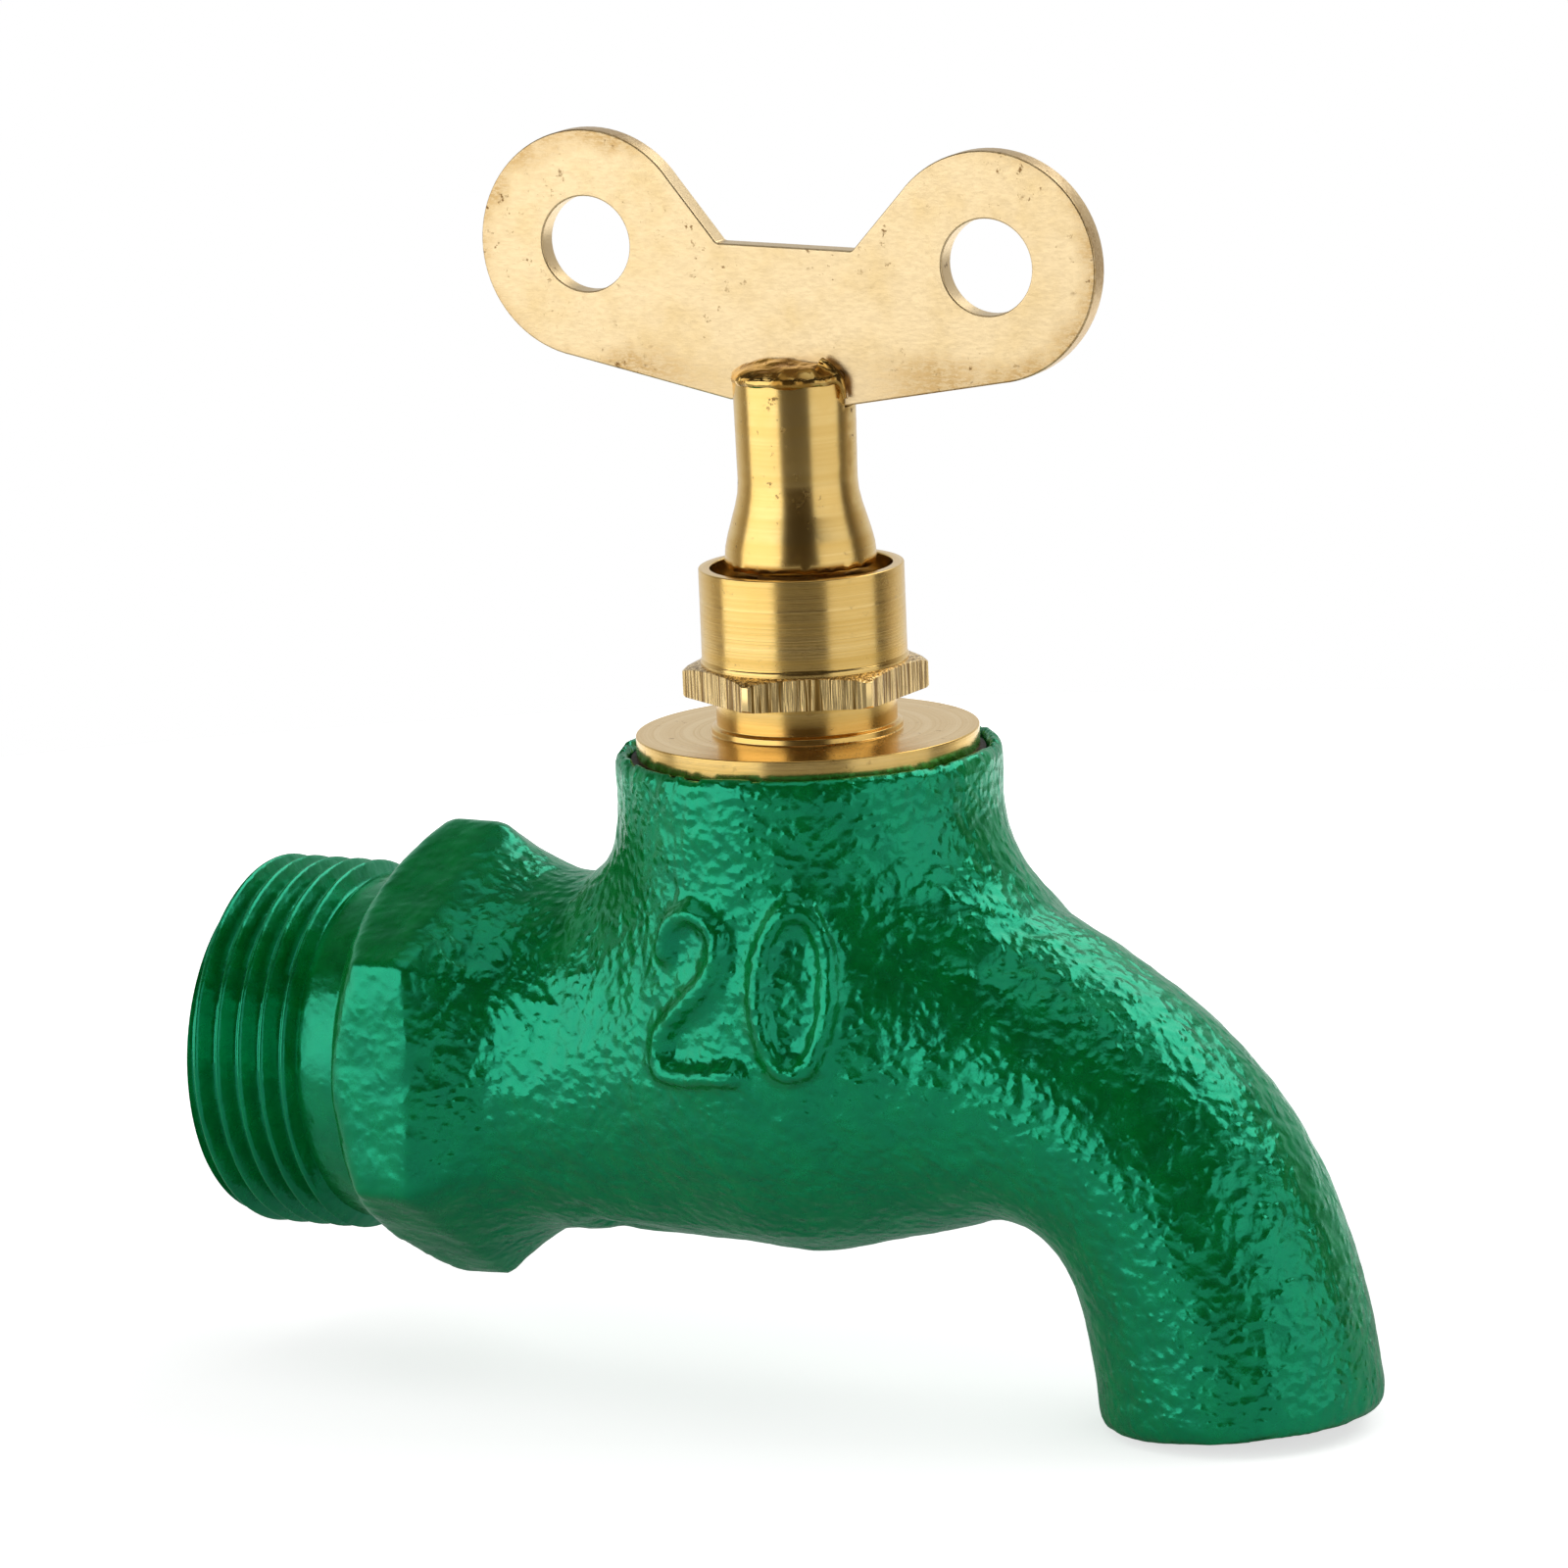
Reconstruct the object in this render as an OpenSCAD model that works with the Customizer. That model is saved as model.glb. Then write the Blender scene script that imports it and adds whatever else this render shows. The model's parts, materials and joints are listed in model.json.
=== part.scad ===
// Garden tap with a lockshield head: green cast body, brass headwork and a loose brass key.
// Millimetres. Origin on the axis of the inlet thread, at its open end.
// +X runs from the inlet to the spout, +Z is up, and the key turns about Z.

/* [Inlet] */
// Distance from the inlet end to the spindle axis
inlet_reach = 45.2; // [44:0.2:52]
// Outside diameter of the inlet thread
thread_d = 26.44; // [25.6:0.02:27.4]
// Length of the inlet thread
thread_len = 12.9; // [11:0.1:14]
// Waterway through the inlet
inlet_bore_d = 19; // [16:0.5:20]
// Hexagon collar across its flats
collar_af = 29.4; // [28:0.1:32]
// Diameter of the collar's face beside the thread, where its chamfer starts
collar_face_d = 27.6; // [27.4:0.1:28]
// Angle of the collar round the inlet
collar_turn = -3; // [-30:0.5:30]
// Height of the collar above the inlet axis, as cast
collar_rise = 0.4; // [0:0.1:0.4]
// Length of the hexagon collar
collar_len = 6.7; // [5:0.1:8]
// Length of the shoulder from the collar down to the barrel
shoulder_len = 6.4; // [5:0.1:7]

/* [Body] */
// Outside diameter of the barrel
barrel_d = 24; // [23:0.1:25]
// Height of the top of the barrel above the inlet axis
barrel_crown = 13.8; // [12.5:0.1:14]
// Diameter of the round chamber under the boss
globe_d = 25.4; // [25:0.1:26.2]
// Depth of that chamber below the inlet axis
globe_depth = 11.95; // [11.8:0.05:12.4]
// Outside diameter of the boss
boss_d = 26.9; // [26.6:0.1:28]
// Height of the boss rim above the inlet axis
boss_top = 24.3; // [23.5:0.1:27]
// Width of the cast fillets round the boss
blend_w = 7; // [4:0.5:8]
// Thickness of the wall under the valve seat
web_t = 3; // [2.5:0.1:4]
// Height of the top of that wall above the inlet axis
web_top = 4.5; // [4:0.1:5]
// Height of the lower water chamber
lower_way_d = 11.2; // [9:0.1:11.4]

/* [Spout] */
// Distance from the spindle axis to the middle of the outlet
spout_reach = 32.2; // [30:0.2:38]
// Depth of the outlet below the inlet axis
spout_drop = 21.5; // [19:0.5:30]
// Angle of the outlet away from straight down
spout_tilt = 4; // [0:1:8]
// Outside diameter of the outlet
outlet_d = 20.2; // [19:0.1:22]
// Bore of the outlet
outlet_bore_d = 15.6; // [13:0.1:16.4]
// Length of the straight bore at the outlet
outlet_bore_len = 7; // [5:0.5:8]

/* [Bonnet] */
// Outside diameter of the thread that screws into the body
bonnet_thread_d = 20.96; // [20:0.02:21.6]
// Length of the bonnet below its gasket
bonnet_depth = 9.5; // [8.5:0.1:10]
// Flange diameter
flange_d = 24.24; // [23.8:0.02:24.6]
// Flange thickness
flange_t = 1.66; // [1.4:0.02:2.4]
// Neck diameter
neck_d = 12.74; // [12.4:0.02:13.4]
// Neck height
neck_h = 2.64; // [2.2:0.02:4]
// Hexagon across its flats
hex_af = 15.2; // [14.8:0.1:17]
// Diameter to which the corners of the hexagon are turned
hex_corner_d = 17.3; // [17:0.1:19]
// Hexagon height
hex_h = 2.3; // [1.8:0.1:4]
// Angle of the hexagon round the spindle, as screwed home
hex_turn = 28; // [0:1:59]
// Outside diameter of the shield round the spindle
shield_d = 14.48; // [14.2:0.02:14.7]
// Wall of the shield
shield_wall = 0.8; // [0.6:0.02:0.86]
// Height of the shield above the hexagon
shield_h = 6.8; // [6.4:0.1:8]

/* [Gasket and packing] */
// Thickness of the bonnet gasket
gasket_t = 1.1; // [0.8:0.1:1.4]
// Bore of the stuffing box
stuffing_d = 9.8; // [9.4:0.1:10.2]
// Thickness of the washer under the packing
packing_washer_t = 0.7; // [0.5:0.1:1]
// Height of each packing ring
packing_t = 1.35; // [1.1:0.05:1.5]
// Threaded depth of the gland nut
gland_thread_len = 1.4; // [1.1:0.1:1.6]
// Height of the gland nut head
gland_head_h = 2.3; // [1.8:0.1:2.4]
// Gland nut head across its flats
gland_af = 10.6; // [10:0.1:10.8]

/* [Spindle] */
// Outside diameter of the spindle thread
spindle_thread_d = 9.96; // [9:0.02:10.2]
// Length of the spindle thread
spindle_thread_len = 10.8; // [9:0.1:11]
// Diameter of the plain spindle
spindle_d = 6.6; // [6.4:0.1:7]
// Square for the key, across its flats
square_af = 4.6; // [4.2:0.1:4.6]
// Length of that square
square_len = 8; // [6:0.5:9]
// Rise of the spindle for one turn
spindle_pitch = 2.5; // [1.5:0.5:2.5]
// Turns from shut to open
open_turns = 2.25; // [1.5:0.25:2.25]

/* [Valve] */
// Water hole of the brass seat
seat_bore_d = 11; // [10.4:0.1:11.2]
// Outside diameter of the brass seat
seat_d = 14.4; // [14:0.1:15.2]
// Height of the seat lip above its wall
seat_lip = 0.8; // [0.6:0.1:1.2]
// Diameter of the rubber washer
washer_d = 14; // [13:0.1:14.6]
// Thickness of the rubber washer
washer_t = 3; // [2.5:0.1:3.2]
// Diameter of the jumper disc
jumper_d = 15.2; // [14.6:0.1:15.6]
// Thickness of the jumper disc
jumper_t = 2; // [1.6:0.1:2.4]
// Diameter of the jumper stem that stands in the spindle
stem_d = 4.8; // [4.4:0.1:5]
// Length of that stem
stem_len = 6.8; // [6:0.1:7]
// Thread that holds the washer
stud_d = 4; // [3:0.1:4]
// Diameter of the plate under the washer
plate_d = 8.8; // [8.4:0.1:9.2]
// Thickness of that plate
plate_t = 0.6; // [0.5:0.1:0.8]
// Washer nut across its flats
nut_af = 7; // [6.4:0.1:7]
// Washer nut height
nut_h = 3; // [2.4:0.1:3]

/* [Key] */
// Diameter of the key tube
tube_d = 8.4; // [8.2:0.05:8.8]
// Diameter of the flared foot
foot_d = 10.7; // [10.2:0.1:11]
// Length of the key tube
tube_len = 13.9; // [13:0.1:18]
// Bore of the tube above the square
tube_bore_d = 6.2; // [5.6:0.1:6.4]
// Thickness of the wing
wing_t = 1.7; // [1.4:0.1:2]
// Distance between the two holes of the wing
wing_pitch = 30.5; // [28:0.5:36]
// How far the wing sits to one side of the tube, as brazed
wing_shift = 0; // [-1:0.05:1]
// Radius of each lobe
lobe_r = 8.1; // [7.5:0.1:9]
// Diameter of each hole
wing_hole_d = 6.74; // [5:0.02:8]
// Depth of the wing below its hole line
wing_depth = 10.4; // [9.5:0.1:12]
// Half width of the flat valley between the lobes
valley_half = 5.15; // [4.5:0.05:6]
// Height of the valley above the hole line
valley_rise = 0.6; // [0:0.1:2]
// Angle of the wing round the spindle
wing_turn = 3.4; // [0:0.2:180]
// Lean of the wing from level, as brazed
wing_lean = 2; // [0:0.5:3]
// Depth of the slot that holds the wing
slot_depth = 2.2; // [2:0.1:3.5]
// Height of the braze above the tube
braze_h = 0.9; // [0.6:0.1:1.8]

/* [Hidden] */

cast_green = [0.02, 0.45, 0.24];
brass = [0.82, 0.66, 0.36];
rubber_black = [0.09, 0.09, 0.1];
graphite = [0.2, 0.2, 0.21];
steel = [0.62, 0.63, 0.65];

// Clearances
thread_gap = 0.12;
turn_gap = 0.12;
seat_gap = 0.05;
shut_gap = 0.1;
flat_gap = 0.02;
recess_gap = 0.63;
end_gap = 0.3;
// Facets of the exact round forms and of the cast skin
fine = 96;
skin_sides = 48;
bore_sides = 48;
way_sides = 24;
spout_sides = 32;
spout_rings = 14;
way_rings = 10;
core_rows = 20;
row_spread = 0.9;
solve_steps = 13;
spout_samples = 26;
// How far the blended core stands proud of the plain forms that run into it
core_proud = 0.2;
// Overlap that lets two forms of one piece join, or a cut run clear of a face
lap = 1;
// How far a straight edge bites into the arc that it runs into
edge_bite = 0.01;

// Levels above the inlet axis, from the body up to the key
recess_d = flange_d + 2 * recess_gap;
// How far the underside of the flange lies below the rim of the boss
flange_sunk = 0.5;
recess_floor = boss_top - gasket_t - flange_sunk;
flange_base = recess_floor + gasket_t;
flange_top = flange_base + flange_t;
hex_base = flange_top + neck_h;
hex_top = hex_base + hex_h;
shield_top = hex_top + shield_h;
bonnet_base = recess_floor - bonnet_depth;
packing_step = 0.1;
packing_floor = hex_base + packing_step;
packing_washer_top = packing_floor + packing_washer_t;
lower_ring_top = packing_washer_top + packing_t;
upper_ring_top = lower_ring_top + packing_t;
gland_base = upper_ring_top + seat_gap;
shield_floor = gland_base + gland_thread_len;
gland_top = shield_floor + seat_gap + gland_head_h;
shield_bore_d = shield_d - 2 * shield_wall;

// Levels of the valve, shut
seat_top = web_top + seat_lip;
washer_base = seat_top + seat_gap;
jumper_base = washer_base + washer_t;
jumper_top = jumper_base + jumper_t;
plate_base = washer_base - plate_t;
nut_base = plate_base - nut_h;
stud_end = 0.5;
spindle_base = jumper_top + shut_gap;
spindle_thread_top = spindle_base + spindle_thread_len;
lift = spindle_pitch * open_turns;
nut_bore_top = spindle_thread_top + lift + end_gap;
// Room for the jumper disc in the bonnet, beside it and above it when it is up
jumper_room = 0.8;
jumper_headroom = 2;
jumper_room_top = jumper_top + lift + jumper_headroom;
// How far the key sits down in the shield, and the square below the key
key_sunk = 0.2;
square_below = 1;
key_base = shield_top - key_sunk;
square_base = key_base - square_below;
square_top = square_base + square_len;
// Snap ring: its height above the jumper disc, and its groove
ring_rise = 4;
ring_t = 0.7;
ring_proud = 0.55;
groove_depth = 0.4;
ring_level = jumper_top + ring_rise;
ring_d = stem_d + 2 * ring_proud;
ring_groove_d = stem_d - 2 * groove_depth;
// Chamfers of the hexagons, and what is turned off their corners
hex_chamfer = 0.6;
nut_chamfer = 0.3;
nut_turned = 0.2;
gland_turned = 0.3;

// Levels of the key
tube_top = key_base + tube_len;
slot_floor = tube_top - slot_depth;
hole_level = slot_floor + wing_depth;
socket_gap = 0.05;
socket_spare = 0.6;
socket_af = square_af + 2 * socket_gap;
socket_depth = square_len - square_below + socket_spare;
foot_r = foot_d / 2;
tube_r = tube_d / 2;
foot_round = 0.7;
foot_len = 5.6;
tube_swell = 0.12;

// Spout centre line as a Bezier curve in the XZ plane, measured from the spindle axis
spout_root = [3.4, 4.7];
root_angle = -10.7;
root_pull = 16.2;
outlet_pull = 22.5;
outlet = [spout_reach, -spout_drop];
outlet_dir = [sin(spout_tilt), -cos(spout_tilt)];
spout_line = [spout_root, spout_root + root_pull * [cos(root_angle), sin(root_angle)],
              outlet - outlet_pull * outlet_dir, outlet];
// Half height and half width of the spout, by the same rule
root_half_h = 16.1;
waist_half_h = 7.8;
elbow_half_h = 9.6;
spout_half_h = [root_half_h, waist_half_h, elbow_half_h, outlet_d / 2];
root_half_w = 12.8;
waist_half_w = 10.6;
elbow_half_w = 9.4;
spout_half_w = [root_half_w, waist_half_w, elbow_half_w, outlet_d / 2];
outlet_round = 0.6;
// Share of the line at which the skin of the spout, and the curved part of its passage, end
spout_end = 0.972;
way_end = 0.96;
// Water passage from the upper chamber to the outlet
way_root = [7.5, 9.5];
way_root_pull = [10.5, -2.5];
way_outlet_pull = 20;
way_line = [way_root, way_root + way_root_pull, outlet - way_outlet_pull * outlet_dir, outlet];
way_root_r = 6;
way_elbow_r = 6.6;
way_step = 0.3;
way_half = [way_root_r, way_root_r, way_elbow_r, outlet_bore_d / 2 - way_step];
// How far the blended core reaches from the spindle axis, and where the spout's own skin begins in it
core_reach = 20;
core_half = 17;
// Width of the fillets at the underside, and the levels between which they grow to full width
fillet_low = 0.8;
fade_low = -9;
fade_high = 3;
spout_start = 0.18;

// Wall between the end of the wide inlet bore and the upper chamber
chamber_wall = 5;
inlet_end = inlet_reach - bonnet_thread_d / 2 - chamber_wall;
// How far the lower passage runs back into the inlet bore
lower_way_overlap = 1;
// Step under the brass seat
seat_step = 0.2;
// How far the thread runs into the collar, and the step in the bore where the thread's own wall begins
thread_root = 0.8;
bore_step = 0.1;
// What the rounding takes off the collar's corners, and how far its shoulder sinks into the barrel
corner_round = 0.15;
shoulder_sink = 0.2;
collar_start = thread_len;
collar_end = collar_start + collar_len;
shoulder_end = collar_end + shoulder_len;

// Smooth rules

function bezier(p, t) =
    pow(1 - t, 3) * p[0] + 3 * t * pow(1 - t, 2) * p[1] + 3 * t * t * (1 - t) * p[2] + pow(t, 3) * p[3];
function bezier_dir(p, t) =
    let (d = pow(1 - t, 2) * (p[1] - p[0]) + 2 * t * (1 - t) * (p[2] - p[1]) + t * t * (p[3] - p[2]))
    d / norm(d);
function ease(t) = let (u = max(0, min(1, t))) u * u * (3 - 2 * u);
// Union of two distances with a fillet of width k where both are near
function blend(a, b, k) = min(a, b) - pow(max(k - abs(a - b), 0), 2) / (4 * k);

// Distances from the cast forms, with the spindle axis as Z

spout_marks = [for (i = [0 : spout_samples])
    let (t = i / spout_samples)
    [bezier(spout_line, t), bezier(spout_half_h, t), bezier(spout_half_h, t) / bezier(spout_half_w, t)]];
function boss_far(p) = p.z < 0
    ? norm([p.x, p.y, p.z * globe_d / 2 / globe_depth]) - globe_d / 2
    : norm([p.x, p.y]) - globe_d / 2 - (boss_d - globe_d) / 2 * ease(p.z / (boss_top / 2));
function barrel_far(p) = norm([max(p.x, 0), p.y, p.z * (p.z > 0 ? barrel_d / 2 / barrel_crown : 1)]) - barrel_d / 2;
function spout_far(p) =
    min([for (m = spout_marks) norm([p.x - m[0].x, p.y * m[2], p.z - m[0].y]) - m[1]]);
// The fillets fade out under the chamber, where the forms run into each other
function fillet_w(z) = fillet_low + (blend_w - fillet_low) * ease((z - fade_low) / (fade_high - fade_low));
function cast_far(p) =
    let (k = fillet_w(p.z))
    blend(blend(boss_far(p), barrel_far(p), k), spout_far(p), k / 2);
// The core ends in flat walls inside the barrel and the spout
function core_limit(a) = min(core_reach, core_half / max(abs(cos(a)), 0.01));
// Radius at which a level ray from the spindle axis leaves the casting
function cast_reach(a, z, near, far, steps) = steps == 0
    ? near
    : let (r = (near + far) / 2)
      cast_far([r * cos(a), r * sin(a), z]) < 0
          ? cast_reach(a, z, r, far, steps - 1)
          : cast_reach(a, z, near, r, steps - 1);

// Skin over a stack of closed rings of equal count
module skin(rings) {
    n = len(rings[0]);
    m = len(rings);
    polyhedron(
        points = [for (ring = rings) each ring],
        faces = concat(
            [[for (i = [0 : n - 1]) i]],
            [for (j = [0 : m - 2], i = [0 : n - 1])
                let (k = (i + 1) % n)
                [j * n + i, (j + 1) * n + i, (j + 1) * n + k, j * n + k]],
            [[for (i = [n - 1 : -1 : 0]) (m - 1) * n + i]]),
        convexity = 6);
}

// Ring of a pipe at c, square to dir in the XZ plane
function pipe_ring(c, dir, half_h, half_w, sides) =
    [for (i = [0 : sides - 1])
        let (a = 360 * i / sides, up = [-dir.y, dir.x] * half_h * cos(a))
        [c.x + up.x, -half_w * sin(a), c.y + up.y]];

// Casting round the spindle axis: boss, chamber and the fillets into barrel and spout
module cast_core() {
    foot_cut = 0.1;
    rim_round = 0.4;
    foot = -min(globe_depth, barrel_d / 2) + foot_cut;
    straight_top = boss_top - rim_round;
    // The rows lie closer together near the foot, where the chamber is roundest
    rows = [for (j = [0 : core_rows]) foot + (straight_top - foot) * pow(j / core_rows, row_spread)];
    rim = [for (a = [45, 90]) [straight_top + rim_round * sin(a), rim_round * (1 - cos(a))]];
    body_rings = [for (z = rows)
        [for (i = [0 : skin_sides - 1])
            let (a = 360 * i / skin_sides, r = cast_reach(a, z, 0, core_limit(a), solve_steps) + core_proud)
            [r * cos(a), r * sin(a), z]]];
    rim_rings = [for (s = rim)
        [for (i = [0 : skin_sides - 1])
            let (a = 360 * i / skin_sides, r = boss_d / 2 + core_proud - s[1])
            [r * cos(a), r * sin(a), s[0]]]];
    skin(concat(body_rings, rim_rings));
}

module spout_skin() {
    edge = outlet_d / 2;
    pipe = [for (i = [0 : spout_rings])
        let (t = spout_start + (spout_end - spout_start) * i / spout_rings)
        pipe_ring(bezier(spout_line, t), bezier_dir(spout_line, t),
                  bezier(spout_half_h, t), bezier(spout_half_w, t), spout_sides)];
    rounding = [for (a = [30, 60, 90])
        pipe_ring(outlet - outlet_round * (1 - sin(a)) * outlet_dir, outlet_dir,
                  edge - outlet_round * (1 - cos(a)), edge - outlet_round * (1 - cos(a)), spout_sides)];
    skin(concat(pipe, rounding));
}

module spout_way() {
    skin([for (i = [0 : way_rings])
        let (t = i / way_rings * way_end)
        pipe_ring(bezier(way_line, t), bezier_dir(way_line, t),
                  bezier(way_half, t), bezier(way_half, t), way_sides)]);
}

// Hexagon collar, chamfered beside the thread, with a hollow shoulder from the hexagon down to the barrel
module collar() {
    apothem = collar_af / 2;
    corner = apothem / cos(30) - corner_round;
    chamfer_steps = 5;
    chamfer_slope = 0.75;
    chamfer_len = (corner - collar_face_d / 2) * chamfer_slope;
    shoulder_steps = 6;
    hollow = 1.5;
    function hexagon(a) = min(corner, apothem / cos(((a % 60) + 60) % 60 - 30));
    function face(a, t) = min(hexagon(a), collar_face_d / 2 + (corner - collar_face_d / 2) * t);
    function foot(a) = cos(a) < 0
        ? 1 / norm([sin(a) / (barrel_d / 2), cos(a) / barrel_crown]) - shoulder_sink
        : barrel_d / 2 - shoulder_sink;
    sides = [for (k = [0 : skin_sides - 1]) 360 * k / skin_sides];
    // Rings about Z, whose -X side becomes the top
    skin_rings = concat(
        [for (i = [0 : chamfer_steps])
            let (t = i / chamfer_steps)
            [for (b = sides)
                let (a = b + collar_turn, r = face(b, t))
                [r * cos(a) - collar_rise, r * sin(a), collar_start + chamfer_len * t]]],
        [for (i = [0 : shoulder_steps])
            let (t = i / shoulder_steps, w = pow(1 - t, hollow))
            [for (b = sides)
                let (a = b + collar_turn, r = foot(a) + (hexagon(b) - foot(a)) * w)
                [r * cos(a) - collar_rise * w, r * sin(a), collar_end + shoulder_len * t]]]);
    rotate([0, 90, 0])
        skin(skin_rings);
}

// Round barrel with a raised crown, from inside the collar to the core
module barrel(from, to) {
    translate([from, 0, 0])
        rotate([90, 0, 90])
            linear_extrude(to - from)
                polygon([for (k = [0 : skin_sides - 1])
                    let (a = 360 * k / skin_sides)
                    [barrel_d / 2 * cos(a), (sin(a) > 0 ? barrel_crown : barrel_d / 2) * sin(a)]]);
}

// The casting as one skin, with its waterways and the bores for the headwork
module casting() {
    resize([0, 0, 0])
        difference() {
            union() {
                collar();
                barrel(collar_end, inlet_reach - core_half + lap);
                on_axis()
                    cast_core();
                on_axis()
                    spout_skin();
            }
            translate([collar_start - lap, 0, 0])
                rotate([0, 90, 0])
                    cylinder(d = inlet_bore_d, h = inlet_end - collar_start + lap, $fn = bore_sides);
            on_axis() {
                spout_way();
                outlet_bore();
                lower_way();
                bore(seat_d + 2 * flat_gap, web_top - web_t + seat_step, web_top + lap);
                bore(bonnet_thread_d + 2 * thread_gap, web_top, boss_top + lap);
                bore(recess_d, recess_floor, boss_top + lap);
            }
        }
}

// Helpers for turned forms

module on_axis() {
    translate([inlet_reach, 0, 0])
        children();
}

// Round bar or bore about the spindle axis between two levels
module bar(d, from, to) {
    translate([0, 0, from])
        cylinder(d = d, h = to - from, $fn = fine);
}

module ring(outer_d, inner_d, from, to) {
    difference() {
        bar(outer_d, from, to);
        bar(inner_d, from - lap, to + lap);
    }
}

// Hexagon across flats, with its corners turned to a diameter and chamfered on top
module turned_hex(af, corner_d, from, to, chamfer, turn = 0) {
    intersection() {
        translate([0, 0, from])
            rotate([0, 0, turn])
                cylinder(d = af / cos(30), h = to - from, $fn = 6);
        rotate_extrude($fn = fine)
            polygon([[0, from], [corner_d / 2, from], [corner_d / 2, to - chamfer],
                     [corner_d / 2 - 2 * chamfer, to], [0, to]]);
    }
}

// Pieces

module tap_body() {
    color(cast_green)
        union() {
            casting();
            rotate([0, 90, 0])
                difference() {
                    cylinder(d = thread_d, h = thread_len + thread_root, $fn = fine);
                    translate([0, 0, -lap])
                        cylinder(d = inlet_bore_d + 2 * bore_step, h = inlet_end, $fn = fine);
                }
        }
}

// Round cut in the casting about the spindle axis between two levels
module bore(d, from, to) {
    translate([0, 0, from])
        cylinder(d = d, h = to - from, $fn = bore_sides);
}

// Passage from the inlet to the underside of the seat
module lower_way() {
    level = web_top - web_t - lower_way_d / 2;
    start = inlet_reach - inlet_end + lower_way_overlap;
    seat_ledge = 0.5;
    translate([-start, 0, level])
        rotate([0, 90, 0])
            cylinder(d = lower_way_d, h = start + seat_bore_d / 2, $fn = way_sides);
    bore(seat_bore_d - 2 * seat_ledge, level, web_top);
}

module outlet_bore() {
    translate([outlet.x, 0, outlet.y])
        rotate([0, -spout_tilt, 0])
            translate([0, 0, -lap])
                cylinder(d = outlet_bore_d, h = outlet_bore_len + lap, $fn = bore_sides);
}

module valve_seat() {
    lip_w = 1;
    color(brass)
        on_axis()
            difference() {
                union() {
                    bar(seat_d, web_top - web_t + seat_step + flat_gap, web_top);
                    bar(seat_bore_d + 2 * lip_w, web_top, seat_top);
                }
                bar(seat_bore_d, 0, seat_top + lap);
            }
}

module bonnet() {
    relief = 0.6;
    relief_h = 1;
    lip_w = 0.3;
    lip_h = 0.5;
    color(brass)
        on_axis()
            difference() {
                union() {
                    bar(bonnet_thread_d, bonnet_base, recess_floor - relief_h);
                    bar(bonnet_thread_d - 2 * relief, recess_floor - relief_h, flange_base);
                    bar(flange_d, flange_base, flange_top);
                    bar(neck_d + 2 * lip_w, flange_top, flange_top + lip_h);
                    bar(neck_d, flange_top, hex_base);
                    turned_hex(hex_af, hex_corner_d, hex_base, hex_top, hex_chamfer, hex_turn);
                    bar(shield_d, hex_base + hex_h / 2, shield_top);
                }
                bar(jumper_d + 2 * jumper_room, bonnet_base - lap, jumper_room_top);
                bar(spindle_thread_d + 2 * turn_gap, jumper_room_top - lap, nut_bore_top);
                bar(spindle_d + 2 * turn_gap, nut_bore_top - lap, packing_floor + lap);
                bar(stuffing_d, packing_floor, shield_floor + lap);
                bar(shield_bore_d, shield_floor, shield_top + lap);
            }
}

module bonnet_gasket() {
    proud = 0.4;
    color(rubber_black)
        on_axis()
            ring(flange_d + 2 * proud, bonnet_thread_d + 2 * thread_gap,
                 recess_floor + flat_gap, flange_base - flat_gap);
}

module packing_piece(from, to) {
    on_axis()
        ring(stuffing_d - 2 * seat_gap, spindle_d + 2 * seat_gap, from, to);
}

module packing_washer() {
    color(brass)
        packing_piece(packing_floor, packing_washer_top);
}

module packing_ring_lower() {
    color(graphite)
        packing_piece(packing_washer_top, lower_ring_top);
}

module packing_ring_upper() {
    color(graphite)
        packing_piece(lower_ring_top, upper_ring_top);
}

module gland_nut() {
    color(brass)
        on_axis()
            difference() {
                union() {
                    bar(stuffing_d - 2 * seat_gap, gland_base, shield_floor + lap);
                    turned_hex(gland_af, gland_af / cos(30) - gland_turned,
                               shield_floor + seat_gap, gland_top, nut_chamfer);
                }
                bar(spindle_d + 2 * turn_gap, gland_base - lap, gland_top + lap);
            }
}

module spindle() {
    point = 0.6;
    color(brass)
        on_axis()
            difference() {
                union() {
                    bar(spindle_thread_d, spindle_base, spindle_thread_top);
                    bar(spindle_d, spindle_base + lap, square_base);
                    intersection() {
                        translate([-square_af / 2, -square_af / 2, square_base - lap])
                            cube([square_af, square_af, square_len + lap]);
                        rotate_extrude($fn = fine)
                            polygon([[0, square_base - lap], [square_af, square_base - lap],
                                     [square_af, square_top - square_af / 2 - point],
                                     [square_af / 2 - point / 2, square_top], [0, square_top]]);
                    }
                }
                bar(stem_d + 2 * turn_gap, spindle_base - lap, jumper_top + stem_len + 2 * end_gap);
                bar(ring_d + 2 * turn_gap, ring_level - turn_gap, ring_level + ring_t + turn_gap);
            }
}

module jumper() {
    crown = 0.4;
    color(brass)
        on_axis()
            difference() {
                union() {
                    rotate_extrude($fn = fine)
                        polygon([[0, jumper_base], [jumper_d / 2, jumper_base],
                                 [jumper_d / 2, jumper_top - crown],
                                 [jumper_d / 2 - crown, jumper_top], [0, jumper_top]]);
                    bar(stem_d, jumper_base, jumper_top + stem_len);
                    bar(stud_d, nut_base - stud_end, jumper_base + lap);
                }
                ring(stem_d + lap, ring_groove_d, ring_level - flat_gap, ring_level + ring_t + flat_gap);
            }
}

// Open spring ring in the groove of the jumper stem
module jumper_snap_ring() {
    gap_w = 1.4;
    color(steel)
        on_axis()
            difference() {
                ring(ring_d, ring_groove_d + 2 * flat_gap, ring_level, ring_level + ring_t);
                translate([0, -gap_w / 2, ring_level - lap])
                    cube([ring_d, gap_w, ring_t + 2 * lap]);
            }
}

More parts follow.
